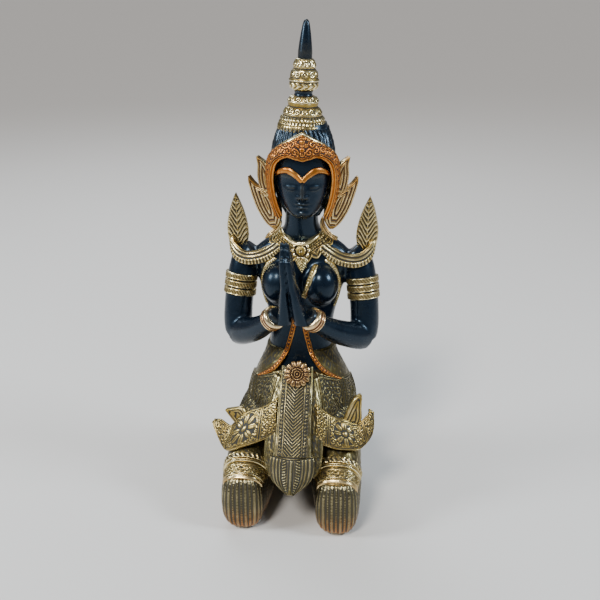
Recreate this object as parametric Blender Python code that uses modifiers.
# A kneeling deity with joined palms, cast in one piece in bronze: dark skin, gilt crown, jewels and dress.
# The figure faces -Y and stands on the floor at Z = 0. Lengths are in metres.
import math

import bpy
import bmesh
import numpy as np
from mathutils import Matrix, Vector
from mathutils.bvhtree import BVHTree

# Driving sizes
FIGURE_HEIGHT = 0.380
COLLAR_RELIEF = 0.0022
BAND_RELIEF = 0.0018
CLOTH_THICKNESS = 0.0034
FLAME_THICKNESS = 0.0046
CORD_DIAMETER = 0.0038
CASTING_DETAIL = 0.0009
SOLID_FACETS = 9300

# The figure is drawn 380 units high, so that a unit is a millimetre on this size of it.
UNIT = FIGURE_HEIGHT / 380

# How far the knees, the hands and the head stand off the middle line, in units
OFF_MIDDLE = {"knees": -2.0, "hands": -2.0, "head": 1.0}

# Pose of the figure, in units and radians
KNEE_SPREAD = 36.7
RIGHT_KNEE_LEAD = 1.5
HEAD_TURN = math.radians(4)
CROWN_LEAN = math.radians(2.3)
HAND_LEAN = math.radians(6)
BAND_TILT = 0.42

# Counts of what repeats
FLUTES_PER_KNEE = 9
COLLAR_PETALS = 14
# Share of the way from back to front, degrees above level of the collar's edge, and of its petals below that.
COLLAR_REACH = [
    (0, 20, 12), (0.35, 27, 7), (0.5, 30, 5), (0.65, 26, 6), (0.8, 13, 11), (0.9, 5, 14), (1, 0, 15),
]
BELT_PETALS = 12
BROOCH_PETALS = 9
HAIR_LOCKS = 26
APRON_CHEVRONS = 13
TOES = 5

# Heights of the landmarks, in units
CHIN = 239
NOSE_BASE = 253
BROW = 267
CROWN_SEAT = 300
WRIST = 167
HEM = 47
HEM_FADE = (14, 34)
NECK_AXIS = (0, 5)

# Where rays from the front start, in units
FAR_IN_FRONT = -150
SIDES = (-1, 1)


def spline(keys, count, closed=False):
    """Points along a smooth curve through the keys, which are tuples of any one length."""
    keys = np.array(keys, float)
    n = len(keys)
    spans = n if closed else n - 1
    out = []
    for i in range(count):
        t = i * spans / (count if closed else count - 1)
        k = min(int(t), spans - 1)
        f = t - k
        if closed:
            p0, p1, p2, p3 = (keys[(k + j) % n] for j in (-1, 0, 1, 2))
        else:
            p1, p2 = keys[k], keys[k + 1]
            p0 = keys[k - 1] if k > 0 else 2 * p1 - p2
            p3 = keys[k + 2] if k + 2 < n else 2 * p2 - p1
        out.append(
            0.5 * (2 * p1 + (p2 - p0) * f + (2 * p0 - 5 * p1 + 4 * p2 - p3) * f ** 2
                   + (3 * p1 - p0 - 3 * p2 + p3) * f ** 3)
        )
    return np.array(out)


def level_ring(z, x_centre, y_centre, half_width, front, back, points=28, square=2.3):
    """A level section of a body: its front and back depths differ, and square makes it boxier."""
    ring = []
    for i in range(points):
        a = 2 * math.pi * i / points
        c, s = math.cos(a), math.sin(a)
        x = half_width * math.copysign(abs(c) ** (2 / square), c)
        depth = front if s < 0 else back
        y = depth * math.copysign(abs(s) ** (2 / square), s)
        ring.append((x_centre + x, y_centre + y, z))
    return ring


def upright_ring(y, x_centre, half_width, bottom, top, points=24, square=2.6):
    """An upright section across a leg, between its bottom and its top."""
    middle, half = (top + bottom) / 2, (top - bottom) / 2
    ring = []
    for i in range(points):
        a = 2 * math.pi * i / points
        c, s = math.cos(a), math.sin(a)
        x = half_width * math.copysign(abs(c) ** (2 / square), c)
        z = half * math.copysign(abs(s) ** (2 / square), s)
        ring.append((x_centre + x, y, middle + z))
    return ring


def loft(rings):
    """A closed body through rings of equal counts, in units."""
    bm = bmesh.new()
    rows = [[bm.verts.new(Vector(p) * UNIT) for p in ring] for ring in rings]
    for low, high in zip(rows, rows[1:]):
        for i in range(len(low)):
            j = (i + 1) % len(low)
            bm.faces.new((low[i], low[j], high[j], high[i]))
    bm.faces.new(rows[0][::-1])
    bm.faces.new(rows[-1])
    return bm


def tube(keys, count=16, sides=14, stretch=1.0):
    """A round limb or cord: keys are (x, y, z, radius) in units. Stretch widens it along its own side."""
    path = spline(keys, count)
    rings = []
    for i, (x, y, z, r) in enumerate(path):
        ahead = path[min(i + 1, count - 1)][:3] - path[max(i - 1, 0)][:3]
        forward = Vector(ahead).normalized()
        side = forward.cross(Vector((0, -1, 0.02))).normalized()
        up = side.cross(forward)
        rings.append([
            Vector((x, y, z)) + side * (r * stretch * math.cos(a)) + up * (r * math.sin(a))
            for a in (2 * math.pi * k / sides for k in range(sides))
        ])
    return loft(rings)


def ball(centre, radii, turn=(0, 0, 0)):
    """An ellipsoid, turned by angles in degrees."""
    bm = bmesh.new()
    bmesh.ops.create_uvsphere(bm, u_segments=20, v_segments=12, radius=1)
    place = Matrix.Translation(Vector(centre) * UNIT)
    for axis, angle in zip("XYZ", turn):
        place = place @ Matrix.Rotation(math.radians(angle), 4, axis)
    place = place @ Matrix.Diagonal((*(Vector(radii) * UNIT), 1))
    bmesh.ops.transform(bm, matrix=place, verts=bm.verts)
    return bm


def panel(rows, thickness):
    """A sheet through rows of points in units, thickened by a Solidify modifier to a thickness in metres."""
    bm = bmesh.new()
    grid = [[bm.verts.new(Vector(p) * UNIT) for p in row] for row in rows]
    for low, high in zip(grid, grid[1:]):
        for i in range(len(low) - 1):
            bm.faces.new((low[i], low[i + 1], high[i + 1], high[i]))
    return thickened(bm, thickness)


def thickened(bm, thickness):
    """The open surface made a wall, half of it to each side."""
    mesh = bpy.data.meshes.new("wall")
    bm.to_mesh(mesh)
    bm.free()
    wall = bpy.data.objects.new("wall", mesh)
    bpy.context.scene.collection.objects.link(wall)
    solidify = wall.modifiers.new("wall", "SOLIDIFY")
    solidify.thickness = thickness
    solidify.offset = 0
    solid = evaluated(wall)
    bpy.data.objects.remove(wall)
    return solid


def evaluated(obj):
    """A bmesh of the object as its modifiers leave it."""
    graph = bpy.context.evaluated_depsgraph_get()
    graph.update()
    shown = obj.evaluated_get(graph)
    bm = bmesh.new()
    bm.from_mesh(shown.to_mesh())
    shown.to_mesh_clear()
    bmesh.ops.transform(bm, matrix=obj.matrix_world, verts=bm.verts)
    return bm


def turned(profile, centre, lean, steps=30):
    """A turned body from (radius, height) pairs in units, running top to bottom, on a leaning axis."""
    mesh = bpy.data.meshes.new("turning")
    points = [(r * UNIT, 0, z * UNIT) for r, z in profile]
    mesh.from_pydata(points, [(i, i + 1) for i in range(len(points) - 1)], [])
    turning = bpy.data.objects.new("turning", mesh)
    bpy.context.scene.collection.objects.link(turning)
    turning.location = (centre[0] * UNIT, centre[1] * UNIT, CROWN_SEAT * UNIT)
    turning.rotation_euler = (0, lean, 0)
    screw = turning.modifiers.new("turning", "SCREW")
    screw.steps = screw.render_steps = steps
    screw.use_merge_vertices = True
    screw.merge_threshold = 0.00005
    bpy.context.view_layer.update()
    solid = evaluated(turning)
    bpy.data.objects.remove(turning)
    return solid


def leaf(outline, depth, thickness, count=60):
    """A pointed leaf: its outline is (x, z) in units, and depth gives how far back each point lies."""
    edge = spline(outline, count, closed=True)
    bm = bmesh.new()
    face = bm.faces.new([bm.verts.new(Vector((x, depth(x, z), z)) * UNIT) for x, z in edge])
    bmesh.ops.triangulate(bm, faces=[face])
    return thickened(bm, thickness)


def merge(target, source):
    """Adds one bmesh to another."""
    mesh = bpy.data.meshes.new("piece")
    source.to_mesh(mesh)
    source.free()
    target.from_mesh(mesh)
    bpy.data.meshes.remove(mesh)


def skin_tree(forms):
    """A search tree of the bare body, for what is laid on it."""
    bm = bmesh.new()
    for form in forms:
        merge(bm, form.copy())
    return BVHTree.FromBMesh(bm)


def on_front(tree, x, z, lift=0.0):
    """The body's front surface at x, z in units, lifted off it by some units."""
    hit, normal, _, _ = tree.ray_cast(Vector((x, FAR_IN_FRONT, z)) * UNIT, Vector((0, 1, 0)))
    if hit is None:
        hit, normal, _, _ = tree.find_nearest(Vector((x, 0, z)) * UNIT)
    return hit / UNIT + Vector((0, -1, 0)).lerp(normal, 0.5).normalized() * lift


def torso():
    sections = [
        # height, centre depth, half width, front, back
        (104, 2.0, 31.0, 27.0, 24.0),
        (118, 2.0, 28.5, 23.0, 20.0),
        (130, 2.0, 25.5, 20.0, 17.5),
        (142, 2.5, 24.8, 18.5, 17.0),
        (156, 3.5, 26.2, 18.0, 18.0),
        (170, 4.5, 30.0, 18.0, 19.5),
        (184, 5.5, 34.0, 17.5, 20.5),
        (196, 6.0, 36.5, 16.0, 20.0),
        (206, 6.5, 37.0, 13.5, 17.0),
        (213, 7.0, 30.0, 12.0, 14.0),
        (219, 6.5, 19.5, 12.0, 12.0),
        (226, 5.0, 14.2, 12.3, 11.5),
        (236, 3.0, 12.6, 12.0, 11.0),
        (252, 2.0, 12.2, 12.0, 11.0),
    ]
    rings = [level_ring(z, 0, y, w, f, b) for z, y, w, f, b in spline(sections, 40)]
    forms = [loft(rings)]
    for side in SIDES:
        forms.append(ball((side * 16.5, -8.5, 183), (13.5, 14.5, 16.5)))
    return forms


def bump(x, z, centre, spread):
    """A soft swelling of height 1 at the centre."""
    return math.exp(-((x - centre[0]) / spread[0]) ** 2 - ((z - centre[1]) / spread[1]) ** 2)


def face_relief(x, z):
    """How far the face stands proud of an even oval at x, z: thirds from chin to nose, brow and hair."""
    x = abs(x)
    third = BROW - NOSE_BASE
    up = (z - NOSE_BASE) / third
    nose = np.interp(up, (-0.12, 0.0, 0.16, 0.4, 0.7, 1.0), (0, 3.2, 5.0, 3.6, 2.2, 0.6))
    relief = nose * math.exp(-(x / (2.6 - 0.9 * min(max(up, 0), 1))) ** 2)
    relief += 1.5 * bump(x, z, (3.3, NOSE_BASE + 1.6), (1.5, 1.5))
    relief -= 1.7 * bump(x, z, (7.8, BROW - 3.6), (5.2, 3.4))
    relief += 1.7 * bump(x, z, (8.4, BROW - 5.4), (4.4, 2.3))
    relief += 0.9 * bump(x, z, (8.0, BROW + 3.4), (8.0, 2.4))
    relief += 1.3 * bump(x, z, (0, CHIN + 9.7), (4.6, 1.3))
    relief += 1.4 * bump(x, z, (0, CHIN + 7.1), (3.8, 1.3))
    relief -= 0.7 * bump(x, z, (0, CHIN + 4.9), (4.5, 1.4))
    relief += 1.5 * bump(x, z, (0, CHIN + 2.4), (4.4, 2.6))
    relief += 0.8 * bump(x, z, (11.0, CHIN + 13.5), (5.0, 5.0))
    return relief


def head():
    sections = [
        # height, centre depth, half width, front, back
        (236.5, -9.0, 5.0, 5.0, 6.0),
        (239.0, -6.5, 9.0, 9.8, 9.0),
        (243.0, -2.0, 13.4, 15.6, 14.0),
        (250.0, 1.0, 17.4, 19.7, 18.0),
        (258.0, 2.0, 20.0, 21.5, 22.0),
        (267.0, 3.0, 21.6, 23.0, 24.5),
        (277.0, 4.0, 22.2, 24.0, 25.5),
        (286.0, 4.5, 22.4, 23.2, 24.5),
        (294.0, 5.5, 21.2, 20.5, 21.5),
        (302.0, 6.0, 19.0, 18.6, 18.6),
        (306.0, 6.0, 17.5, 17.5, 17.5),
    ]
    rings = []
    for z, y, w, f, b in spline(sections, 64):
        ring = level_ring(z, 0, y, w, f, b, points=88, square=2.15)
        rings.append([(px, py - (face_relief(px, z) if py < y else 0), pz) for px, py, pz in ring])
    return [loft(rings)]


def upper_arms():
    forms = []
    for s in SIDES:
        forms.append(tube([
            (s * 37, 8, 206, 9.5), (s * 44, 7, 198, 11.3), (s * 47.5, 4, 184, 11.6),
            (s * 49.8, 1, 166, 11.4), (s * 50.5, -2, 149, 11.4), (s * 49.5, -5, 139, 10.6),
        ], 20, 18))
    return forms


def forearms():
    """Each forearm rises evenly from the elbow and ends inside the palm, whatever the wrist's height."""
    forms = []
    shift = OFF_MIDDLE["hands"]
    elbow = 139.5
    low, middle, high = (elbow + (WRIST - elbow) * step / 55 for step in (8, 22, 38))
    for s in SIDES:
        forms.append(tube([
            (s * 49.5, -4, elbow, 10.9), (s * 43, -13, low, 10.6),
            (s * 32 + shift * 0.4, -24.5, middle, 9.6), (s * 22.5 + shift * 0.8, -33.5, high, 8.2),
            (s * 15 + shift, -40, WRIST - 1, 7.2), (s * 11 + shift, -42.5, WRIST + 4, 6.6),
        ], 20, 18))
    return forms


def hands():
    """Two palms pressed together, the fingers straight up and leaning a little to one side."""
    forms = []
    shift = OFF_MIDDLE["hands"]
    lean = math.tan(HAND_LEAN)
    for s in SIDES:
        palm = [
            # height above the wrist, inner face x, thickness, centre depth, half breadth
            (-3, 1.0, 12.5, -42.5, 6.0),
            (5, 0.2, 10.5, -43.0, 8.0),
            (15, 0.2, 7.6, -43.5, 9.0),
            (26, 0.2, 5.6, -43.8, 8.6),
            (38, 0.2, 4.6, -44.0, 7.4),
            (49, 0.2, 3.8, -44.2, 5.6),
            (56, 0.2, 3.0, -44.3, 3.6),
            (59, 0.2, 2.0, -44.3, 1.8),
        ]
        rings = []
        for up, inner, thick, y, half in spline(palm, 24):
            x = s * (inner + thick / 2) + shift - lean * up
            rings.append(level_ring(WRIST + up, x, y, thick / 2, half, half, points=16, square=2.6))
        forms.append(loft(rings))
        thumb = [(s * 4, -35, 9, 3.0), (s * 3, -33.5, 19, 2.6), (s * 2, -34.5, 28, 2.0), (0, -35.5, 32, 1.2)]
        forms.append(tube([(x + shift - lean * up, y, WRIST + up, r) for x, y, up, r in thumb], 10, 10))
    return forms


def hips():
    sections = [
        # height, centre depth, half width, front, back
        (131, 2.0, 26.8, 21.5, 19.0),
        (122, 2.0, 29.5, 25.0, 22.0),
        (112, 3.0, 34.0, 29.0, 27.0),
        (100, 5.0, 39.0, 33.0, 33.0),
        (88, 7.0, 42.5, 36.0, 38.0),
        (74, 10.0, 43.5, 36.0, 42.0),
        (60, 14.0, 42.5, 33.0, 44.0),
        (46, 18.0, 38.0, 28.0, 42.0),
        (34, 22.0, 32.0, 20.0, 36.0),
        (27, 25.0, 24.0, 12.0, 28.0),
    ]
    return [loft([level_ring(z, 0, y, w, f, b) for z, y, w, f, b in spline(sections, 30)])]


def thigh_sections(side):
    """A thigh from the front of the knee back into the hip: depth, centre x, half width, bottom, top."""
    spread = KNEE_SPREAD
    lead = RIGHT_KNEE_LEAD if side > 0 else 0.0
    return spline([
        (-76.5 - lead, spread, 9.0, 13, 33),
        (-75.0 - lead, spread, 12.6, 6.5, 39.5),
        (-71 - lead, spread, 15.2, 1.5, 45),
        (-62, spread, 16.4, -2, 50.5),
        (-50, spread - 1.2, 17.8, 1, 59),
        (-36, spread - 2.8, 19.6, 8, 69),
        (-18, spread - 5.5, 21, 15, 80),
        (4, spread - 9.5, 21, 22, 88),
        (24, spread - 13.5, 20, 30, 90),
    ], 90)


def calf_sections():
    """The lower leg, from the knee to the ankle: depth, centre x, half width, bottom, top."""
    spread = KNEE_SPREAD
    return spline([
        (-66, spread, 11.6, 0, 30),
        (-50, spread - 0.6, 15, -3, 30),
        (-30, spread - 3.4, 15.5, -3, 31),
        (-8, spread - 7, 15, -3, 31),
        (14, spread - 11, 14, -3, 29),
        (34, spread - 15, 12, -3, 26),
        (50, spread - 18, 10.5, -2.5, 24),
        (60, spread - 19.5, 9.5, 0, 20),
    ], 40)


def legs():
    forms = []
    for s in SIDES:
        for sections in (thigh_sections(s)[::2], calf_sections()):
            rings = [
                upright_ring(y, s * x + OFF_MIDDLE["knees"], w, low, high)
                for y, x, w, low, high in sections
            ]
            forms.append(loft(rings))
    return forms


def feet():
    """The soles, upright behind the seat with the toes tucked under."""
    forms = []
    for s in SIDES:
        forms.append(tube([
            (s * 18, 53, 27, 9), (s * 17.5, 60, 23, 10), (s * 17, 64.5, 14, 9.6),
            (s * 17, 66, 4, 8.6), (s * 17, 66, -3, 7.5),
        ], 14, 18, 1.08))
        for toe in range(TOES):
            forms.append(ball((s * (10.5 + toe * 3.4), 71.5 - 0.5 * toe, 4.5), (2.2, 3.0, 4.2)))
    return forms


def knee_flutes(tree):
    """Upright ridges down the front of each knee, from the hem to the floor."""
    forms = []
    for s in SIDES:
        for k in range(FLUTES_PER_KNEE):
            across = -1 + 2 * k / (FLUTES_PER_KNEE - 1)
            x = s * KNEE_SPREAD + OFF_MIDDLE["knees"] + 12.8 * across
            top = 43.5 - 4.5 * across ** 2
            low = 3.0 + 5.0 * across ** 2
            path = [(*on_front(tree, x, z), 1.25) for z in np.linspace(top, low, 12)]
            forms.append(tube(path, 14, 8))
    return forms


def hem_ring(sections, side, top_depth, swell, points=40):
    """A ring round a thigh, square to its slope: top_depth is the depth of its highest point.

    The cloth stands proud over the top of the thigh and lies close to it lower down.
    """
    ring = []
    for i in range(points):
        depth = top_depth
        for _ in range(5):
            x, w, low, high = (np.interp(depth, sections[:, 0], sections[:, k]) for k in (1, 2, 3, 4))
            middle = side * x + OFF_MIDDLE["knees"]
            height = upright_ring(depth, middle, w, low, high, points)[i][2]
            proud = swell * np.interp(height, HEM_FADE, (0, 1)) if swell > 0 else swell
            point = upright_ring(depth, middle, w + proud, low - proud, high + proud, points)[i]
            depth = top_depth - BAND_TILT * (point[2] - HEM)
        ring.append((point[0], depth, point[2]))
    return ring


def leg_bands():
    """The hem of the dress over each knee: a rim, a broad band, a cord and a row of gathers."""
    forms = []
    relief = BAND_RELIEF / UNIT
    bands = (
        # front depth, back depth, swell
        (-73.0, -70.0, 1.35 * relief),
        (-68.5, -58.0, 0.8 * relief),
        (-56.6, -54.8, 1.2 * relief),
        (-53.5, -48.5, 0.95 * relief),
    )
    for s in SIDES:
        sections = thigh_sections(s)
        for start, stop, swell in bands:
            steps = np.linspace(start, stop, 5)
            rings = [hem_ring(sections, s, steps[0], -1.5)]
            rings += [hem_ring(sections, s, depth, swell) for depth in steps]
            rings += [hem_ring(sections, s, steps[-1], -1.5)]
            forms.append(loft(rings))
    return forms


def apron_rows():
    """The front panel from the waist to its bend: height, depth, half width, in units."""
    return [(121, -28.0, 12.5), (110, -37.0, 12.8), (96, -48.0, 13.3), (80, -58.5, 14.0), (64, -69.0, 14.8)]


def tongue_rows():
    """The pointed end of the panel, which widens like a shield between the knees."""
    return [
        (65, -68.5, 15.0), (61, -72.0, 17.0), (54, -76.0, 17.2),
        (48, -79.5, 15.0), (43.5, -82.0, 9.0), (40, -84.0, 1.5),
    ]


def front_panel():
    forms = []
    for rows, arch in ((apron_rows(), 1.2), (tongue_rows(), 5.5)):
        sheet = []
        for z, y, half in spline(rows, 14):
            sheet.append([(half * u, y + arch * u * u, z) for u in np.linspace(-1, 1, 9)])
        forms.append(panel(sheet, CLOTH_THICKNESS))
    for s in SIDES:
        forms.append(tube([(s * w, y - 0.8, z, 1.2) for z, y, w in apron_rows()], 14, 8))
        forms.append(tube([(s * w * 0.58, y - 1.4, z, 0.8) for z, y, w in apron_rows()], 14, 8))
    for z, y, half in spline(apron_rows(), APRON_CHEVRONS + 4)[3:-1]:
        for s in SIDES:
            forms.append(tube([(0, y - 1.6, z + 1.8, 0.9), (s * half * 0.5, y - 1.2, z - 2.4, 0.9)], 3, 6))
    spine = [(0, y - 1.0, z, r) for (z, y, _), r in zip(tongue_rows(), (1.6, 2.2, 2.4, 2.2, 1.6, 0.8))]
    forms.append(tube(spine, 12, 10))
    for s in SIDES:
        for share in (0.36, 0.64, 0.92):
            rib = [(s * share * w, y + 5.5 * share ** 2 - 1.3, z, 0.9) for z, y, w in tongue_rows()]
            forms.append(tube(rib, 12, 8))
    return forms


def lap_cloth():
    """The cloth between the thighs, behind the panel, which closes the lap down to the tongue."""
    rows = [(112, -30, 14), (98, -41, 19), (82, -51, 22), (66, -60, 23), (54, -66, 22), (47, -69, 19)]
    sheet = []
    for z, y, half in spline(rows, 16):
        sheet.append([(half * u, y + 2.5 * u * u, z) for u in np.linspace(-1, 1, 9)])
    body = [
        # height, centre depth, half width, front, back
        (46, -30, 20, 34, 30),
        (60, -22, 24, 36, 30),
        (78, -12, 30, 38, 30),
        (96, -6, 30, 34, 26),
        (112, -2, 26, 28, 20),
    ]
    rings = [level_ring(z, 0, y, w, f, b) for z, y, w, f, b in spline(body, 14)]
    return [panel(sheet, CLOTH_THICKNESS), loft(rings)]


def sash_wings():
    """The sash over each thigh: a band that sweeps outwards and up to a point, with a second one behind it.

    The right one stands higher than the left.
    """
    bands = (
        # the lower edge and then the upper edge of each band
        [
            (-13.8, -54, 75.0, -13.9, -43, 101.5), (-25.5, -55, 68.8, -23.5, -42, 93.5),
            (-40.7, -53, 61.3, -33.3, -39, 88.7), (-51.5, -49, 55.1, -42.8, -38, 82.4),
            (-57.6, -43, 54.7, -51.3, -36, 71.5), (-64.1, -36, 65.1, -60.8, -32, 74.3),
            (-67.6, -30, 70.5, -66.9, -29, 72.0),
        ],
        [
            (17.3, -54, 71.8, 16.1, -43, 98.0), (21.3, -55, 68.3, 21.4, -42, 92.2),
            (32.8, -53, 64.0, 29.0, -40, 86.7), (42.3, -50, 61.8, 37.4, -39, 84.5),
            (50.8, -44, 60.0, 47.2, -36, 78.7), (59.1, -37, 69.3, 54.9, -32, 83.9),
            (58.9, -30, 85.0, 57.9, -29, 87.5),
        ],
    )
    points = (
        [
            (-36.0, 76.0), (-39.5, 87.5), (-45.0, 88.5), (-56.5, 83.6), (-56.5, 83.2), (-52.8, 77.7),
            (-48.5, 71.6),
        ],
        [
            (33.5, 74.0), (37.6, 84.5), (41.6, 94.2), (45.4, 100.8), (49.6, 102.8), (50.4, 101.4),
            (50.6, 91.0), (51.0, 82.0), (47.5, 74.0),
        ],
    )
    forms = []
    for band, point in zip(bands, points):
        sheet = []
        for xl, yl, zl, xu, yu, zu in spline(band, 26):
            row = []
            for t in np.linspace(0, 1, 8):
                bow = 1.5 * math.sin(math.pi * t)
                row.append((xl + (xu - xl) * t, yl + (yu - yl) * t - bow, zl + (zu - zl) * t))
            sheet.append(row)
        forms.append(panel(sheet, CLOTH_THICKNESS))
        forms.append(leaf(point, lambda x, z: -52 + 0.36 * abs(x), CLOTH_THICKNESS * 1.2))
    return forms


def rosette(centre, normal, radius, petals):
    """A flower boss: a disc, a ring of petals and a beaded middle."""
    facing = Vector(normal).normalized().to_track_quat("Z", "Y").to_matrix().to_4x4()
    place = Matrix.Translation(Vector(centre) * UNIT) @ facing
    whole = bmesh.new()
    bmesh.ops.create_cone(
        whole, cap_ends=True, segments=24, radius1=radius * 0.86 * UNIT, radius2=radius * 0.8 * UNIT,
        depth=3.0 * UNIT,
    )
    for k in range(petals):
        petal = ball((radius * 0.8, 0, 1.0), (radius * 0.24, radius * 0.16, 1.5))
        turn = Matrix.Rotation(2 * math.pi * k / petals, 4, "Z")
        bmesh.ops.transform(petal, matrix=turn, verts=petal.verts)
        merge(whole, petal)
    merge(whole, ball((0, 0, 1.2), (radius * 0.5, radius * 0.5, 1.9)))
    merge(whole, ball((0, 0, 2.6), (radius * 0.2, radius * 0.2, 1.6)))
    bmesh.ops.transform(whole, matrix=place, verts=whole.verts)
    return whole


def back_drape():
    """A sash end that falls from the belt over the seat."""
    rows = [
        (124, 22, 8), (112, 31, 8.5), (98, 40, 9), (82, 49, 9.5), (64, 56, 10), (50, 57, 6), (44, 56, 1.5),
    ]
    sheet = []
    for z, y, half in spline(rows, 18):
        sheet.append([(half * u, y + 1.5 - 1.5 * u * u, z) for u in np.linspace(-1, 1, 7)])
    return [panel(sheet, CLOTH_THICKNESS)]


def collar(tree):
    """A collar of petals round the neck, laid on the shoulders by rays from inside the chest."""
    centre = Vector((0, 4, 203))
    around, across = COLLAR_PETALS * 10, 8
    bm = bmesh.new()
    rows = []
    for i in range(around):
        a = 2 * math.pi * i / around
        front = 0.5 - 0.5 * math.sin(a)
        petal = abs(math.sin(COLLAR_PETALS * a / 2)) ** 0.9
        inner = math.radians(50)
        edge, reach = (np.interp(front, *zip(*[(key[0], key[n]) for key in COLLAR_REACH])) for n in (1, 2))
        outer = math.radians(edge - reach * petal)
        row = []
        for k in range(across):
            up = inner + (outer - inner) * k / (across - 1)
            ray = Vector((math.cos(a) * math.cos(up), math.sin(a) * math.cos(up), math.sin(up)))
            hit, normal, _, _ = tree.ray_cast((centre + ray * 90) * UNIT, -ray)
            row.append(bm.verts.new(hit + ray * COLLAR_RELIEF * 0.3))
        rows.append(row)
    for i in range(around):
        low, high = rows[i], rows[(i + 1) % around]
        for k in range(across - 1):
            bm.faces.new((low[k], low[k + 1], high[k + 1], high[k]))
    return [thickened(bm, COLLAR_RELIEF * 2)]


def shoulder_bands():
    """A curved band over each shoulder, from the collar to the foot of the shoulder flame."""
    path = [
        (21, -3.6, 208.8, 3.6), (27, -3.6, 204.8, 4.4), (34, -3.8, 202.1, 4.7), (42, -3.6, 201.4, 4.7),
        (47.9, -0.9, 203.2, 4.6), (52.2, 3.2, 208.6, 4.2), (53.7, 7.0, 215.8, 3.0),
    ]
    return [tube([(s * x, y, z, r) for x, y, z, r in path], 24, 14) for s in SIDES]


def shoulder_flames():
    outline = [
        (44.5, 208), (50.5, 205.5), (56.2, 208), (58.6, 215), (58.9, 223), (57.6, 233.5), (55.4, 242),
        (52.5, 249.5), (51.7, 249.4), (47.6, 241), (44.3, 232), (42.2, 221), (42.2, 213),
    ]
    forms = []
    for s in SIDES:
        mirrored = [(s * x, z) for x, z in outline]
        forms.append(leaf(mirrored, lambda x, z: 8.0 + 0.03 * (z - 212), FLAME_THICKNESS))
        spine = [
            (s * 51, 6.5, 205, 3.6), (s * 51, 7.6, 216, 3.4), (s * 51.5, 8.0, 230, 2.6),
            (s * 52, 8.6, 243, 1.2),
        ]
        forms.append(tube(spine, 12, 12))
    return forms


def ear_flames():
    """An upright ornament behind each ear: a large leaf below and a smaller one above it."""
    large = [
        (16.5, 244), (16.5, 233), (21.5, 225.5), (28.4, 229.5), (35.2, 240), (39.6, 252), (41.4, 260),
        (41.2, 265.2), (40.4, 265.0), (36.4, 260.5), (31.6, 256), (26.0, 256), (19.0, 252),
    ]
    small = [
        (21.0, 250), (30.0, 251), (33.4, 258), (34.4, 267), (34.0, 274), (34.6, 280.5), (33.6, 280.8),
        (29.0, 278.5), (25.0, 275), (21.0, 262),
    ]
    forms = []
    for s in SIDES:
        for outline in (large, small):
            mirrored = [(s * x, z) for x, z in outline]
            forms.append(leaf(mirrored, lambda x, z: -8.0 + 0.32 * abs(x), FLAME_THICKNESS))
        spine = [
            (s * 25, -1.6, 231, 1.6), (s * 30, -0.4, 238, 1.6), (s * 35, 1.2, 248, 1.6),
            (s * 39, 2.4, 258, 1.2),
        ]
        forms.append(tube(spine, 12, 8))
    return forms


def neck_rim():
    """The raised upper edge of the collar, which rises at the sides of the neck towards the ears."""
    ring = []
    for a in np.linspace(0, 2 * math.pi, 25):
        dip = max(-math.sin(a), 0) ** 2
        ring.append((14.8 * math.cos(a), 4.5 + 15.2 * math.sin(a), 222.5 - 7.0 * dip, 1.5))
    forms = [tube(ring, 48, 8)]
    for s in SIDES:
        ribbon = [
            (s * 16.5, -2, 235, 1.3), (s * 16.6, -2.4, 230, 1.8), (s * 19.2, -2.4, 225, 2.0),
            (s * 23.5, -2, 221, 2.0), (s * 27, -1.5, 218, 1.6),
        ]
        forms.append(tube(ribbon, 12, 10))
    return forms


def diadem_edges():
    """The face opening and the outer rim of the diadem's right half, from the jaw up to the middle."""
    opening = [
        (16.0, -5.0, 236), (19.4, -8.0, 247), (21.6, -9.5, 258), (22.2, -11.0, 269),
        (19.7, -15.0, 279.5), (12.0, -20.5, 285.3), (5.0, -22.0, 284.0), (0, -22.6, 282.8),
    ]
    rim = [
        (19.6, 0.0, 234), (23.2, -1.0, 247), (25.3, -2.0, 259), (26.1, -3.0, 272),
        (24.2, -6.5, 283), (17.0, -13.5, 291.2), (8.5, -18.5, 296.6), (0, -20.5, 301.4),
    ]
    return opening, rim


def diadem():
    opening, rim = diadem_edges()
    forms = []
    for s in SIDES:
        inner, outer = spline(opening, 26), spline(rim, 26)
        sheet = []
        for a, b in zip(inner, outer):
            row = []
            for t in np.linspace(0, 1, 5):
                p = a + (b - a) * t
                row.append((s * p[0], p[1] - 1.6 * math.sin(math.pi * t), p[2]))
            sheet.append(row)
        forms.append(panel(sheet, BAND_RELIEF * 2))
        forms.append(tube([(s * x, y, z, 1.5) for x, y, z in outer], 26, 10))
        forms.append(tube([(s * x, y, z, 1.0) for x, y, z in inner], 26, 8))
    return forms


def brows(tree):
    forms = []
    for s in SIDES:
        line = spline([(0, 266.4), (4.5, 271.5), (10.5, 274.8), (16.0, 273.2), (19.0, 270.2)], 14)
        width = np.interp(np.linspace(0, 1, 14), (0, 0.4, 1), (1.4, 1.8, 1.1))
        forms.append(tube([(*on_front(tree, s * x, z, 0.2), r) for (x, z), r in zip(line, width)], 14, 8))
    return forms


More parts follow.
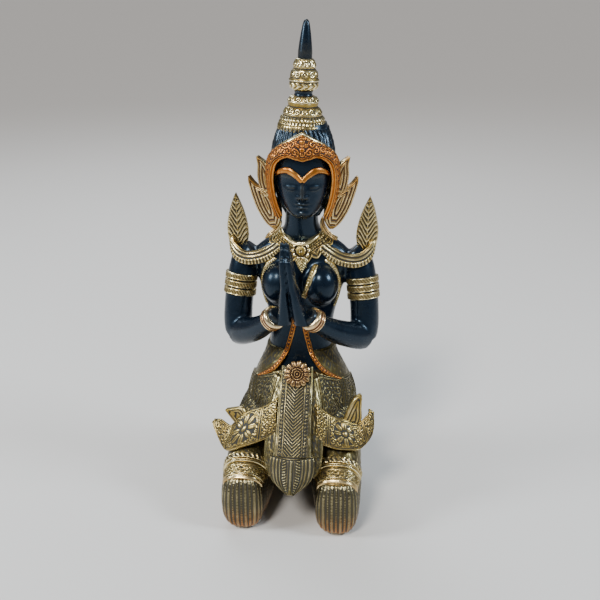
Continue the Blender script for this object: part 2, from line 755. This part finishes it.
def crown():
    """The tiered crown: (radius, height over its seat), from the tip down, as turned on a lathe."""
    profile = [
        (0.0, 80.3), (1.6, 79.4), (2.6, 76.5), (4.3, 66.0), (5.3, 57.0), (5.6, 52.5),
        (6.6, 52.2), (8.3, 48.3), (8.6, 46.2), (7.9, 45.6), (9.3, 44.0), (10.6, 38.6), (11.1, 37.6),
        (11.1, 36.2), (10.7, 35.6), (10.8, 33.6), (9.4, 30.6), (7.2, 29.6), (6.6, 27.2), (7.2, 26.0),
        (9.2, 25.4), (11.8, 21.8), (11.6, 20.2), (10.9, 18.0), (12.0, 17.4), (14.8, 13.4), (15.0, 12.4),
        (14.6, 11.4), (16.4, 9.6), (16.9, 8.4), (16.4, 7.6), (17.7, 5.8), (18.3, 3.6), (18.6, 1.2),
        (18.0, 0.4), (17.4, 0.0), (17.0, -3.0), (0.0, -3.0),
    ]
    return [turned(profile, NECK_AXIS, CROWN_LEAN)]


def hair():
    """The combed hair between the diadem and the crown: narrow locks round a cone."""
    forms = []
    for k in range(HAIR_LOCKS):
        a = 2 * math.pi * k / HAIR_LOCKS
        foot = (22.4 * math.cos(a), 4.5 + 24.0 * math.sin(a), 284)
        head_end = (17.6 * math.cos(a), 5.5 + 17.6 * math.sin(a), 301.5)
        middle = (20.8 * math.cos(a), 5 + 21.2 * math.sin(a), 293)
        forms.append(tube([(*foot, 1.7), (*middle, 1.6), (*head_end, 1.4)], 5, 8))
    return forms


def breast_bands(tree):
    """A band round the outer side of each breast, and two that cross from the collar to the breastbone."""
    forms = []
    for s in SIDES:
        outer = spline([(20, 206), (28, 199), (32.5, 190), (33, 181), (30.5, 172), (27, 164)], 16)
        forms.append(tube([(*on_front(tree, s * x, z, 0.2), 1.7) for x, z in outer], 16, 8))
        inner = spline([(12.6, 200), (8.6, 191), (4.4, 181.5), (1.2, 172)], 10)
        forms.append(tube([(*on_front(tree, s * x, z, 0.2), 1.9) for x, z in inner], 10, 8))
    return forms


def belly_cords(tree):
    """Two cords from the breastbone, which part over the belly and run out over the hips."""
    forms = []
    radius = CORD_DIAMETER / 2 / UNIT
    for s in SIDES:
        line = spline([(1.5, 160), (4, 150), (6.5, 140), (9.5, 130), (17, 119), (26, 110.5), (34, 104)], 22)
        forms.append(tube([(*on_front(tree, s * x, z, 0.3), radius) for x, z in line], 22, 10))
    return forms


def arm_rings():
    """Three ridges on each upper arm and one broad bangle on each wrist."""
    forms = []
    for s in SIDES:
        for drop in (0, 6, 12):
            centre = Vector((s * (47.8 + drop * 0.1), 4 - drop * 0.16, 184.5 - drop))
            forms.append(ring_band(centre, Vector((s * -0.13, 0.16, 1)), 11.9, 1.9))
        wrist = Vector((s * 15.5 + OFF_MIDDLE["hands"], -39.5, WRIST - 1.5))
        forms.append(ring_band(wrist, Vector((s * -0.62, -0.5, 0.62)), 7.6, 2.6))
    return forms


def ring_band(centre, axis, radius, half_height):
    """A barrel-shaped ring round a limb."""
    facing = axis.normalized().to_track_quat("Z", "Y").to_matrix().to_4x4()
    rings = []
    for t in np.linspace(-1, 1, 7):
        r = radius + 1.5 * math.sqrt(max(1 - t * t, 0))
        ring = []
        for k in range(22):
            a = 2 * math.pi * k / 22
            ring.append(centre + facing @ Vector((r * math.cos(a), r * math.sin(a), t * half_height)))
        rings.append(ring)
    return loft(rings)


def clear_scene():
    for obj in list(bpy.data.objects):
        bpy.data.objects.remove(obj)


def bronze():
    material = bpy.data.materials.new("gilt_bronze")
    material.use_nodes = True
    shader = material.node_tree.nodes["Principled BSDF"]
    shader.inputs["Base Color"].default_value = (0.36, 0.26, 0.11, 1)
    shader.inputs["Metallic"].default_value = 0.9
    shader.inputs["Roughness"].default_value = 0.4
    return material


def floor_cutter():
    """A block that reaches from well below the floor up to it, and cuts the underside flat."""
    bpy.ops.mesh.primitive_cube_add(size=1)
    block = bpy.context.active_object
    block.name = "floor_cutter"
    block.scale = (FIGURE_HEIGHT, FIGURE_HEIGHT, FIGURE_HEIGHT / 10)
    block.location = (0, 0, -FIGURE_HEIGHT / 20)
    block.hide_render = True
    block.display_type = "WIRE"
    cutters = bpy.data.collections.new("cutters")
    bpy.context.scene.collection.children.link(cutters)
    for owner in list(block.users_collection):
        owner.objects.unlink(block)
    cutters.objects.link(block)
    return block


def cast(forms, collection):
    """All forms fused into one closed skin, centred, thinned in facets and cut flat at the floor."""
    whole = bmesh.new()
    for form in forms:
        merge(whole, form)
    spread = np.array([vertex.co for vertex in whole.verts])
    middle = (spread.min(axis=0) + spread.max(axis=0)) / 2
    bmesh.ops.translate(whole, verts=whole.verts, vec=(-middle[0], -middle[1], 0))
    mesh = bpy.data.meshes.new("deity_statue")
    whole.to_mesh(mesh)
    whole.free()
    statue = bpy.data.objects.new("deity_statue", mesh)
    collection.objects.link(statue)
    fuse = statue.modifiers.new("fuse", "REMESH")
    fuse.mode = "VOXEL"
    fuse.voxel_size = CASTING_DETAIL
    fused = evaluated(statue)
    statue.modifiers.remove(fuse)
    bmesh.ops.triangulate(fused, faces=fused.faces)
    faces = len(fused.faces)
    fused.to_mesh(mesh)
    fused.free()
    mesh.materials.append(bronze())
    thin = statue.modifiers.new("facets", "DECIMATE")
    thin.ratio = SOLID_FACETS / faces
    flat = statue.modifiers.new("underside", "BOOLEAN")
    flat.operation = "DIFFERENCE"
    flat.object = floor_cutter()
    return statue


def main():
    clear_scene()
    collection = bpy.data.collections.new("kneeling_deity")
    bpy.context.scene.collection.children.link(collection)
    skull = head()
    head_forms = skull + diadem() + ear_flames() + hair() + brows(skin_tree(skull))
    neck = Matrix.Translation(Vector((*NECK_AXIS, 0)) * UNIT)
    aside = Matrix.Translation((OFF_MIDDLE["head"] * UNIT, 0, 0))
    turn = aside @ neck @ Matrix.Rotation(HEAD_TURN, 4, "Z") @ neck.inverted()
    for form in head_forms:
        bmesh.ops.transform(form, matrix=turn, verts=form.verts)
    bare = torso() + upper_arms() + hips() + legs() + lap_cloth()
    tree = skin_tree(bare)
    forms = bare + head_forms + forearms() + hands() + feet()
    forms += knee_flutes(tree) + leg_bands() + front_panel() + sash_wings() + back_drape()
    forms += collar(tree) + neck_rim() + shoulder_bands() + shoulder_flames() + crown()
    forms += breast_bands(tree) + belly_cords(tree) + arm_rings()
    forms.append(rosette((0, -35.5, 119), (0, -1, 0.45), 10.6, BELT_PETALS))
    forms.append(rosette((0.5, -13.2, 211.5), (0, -1, 0.35), 7.0, BROOCH_PETALS))
    cast(forms, collection)


main()
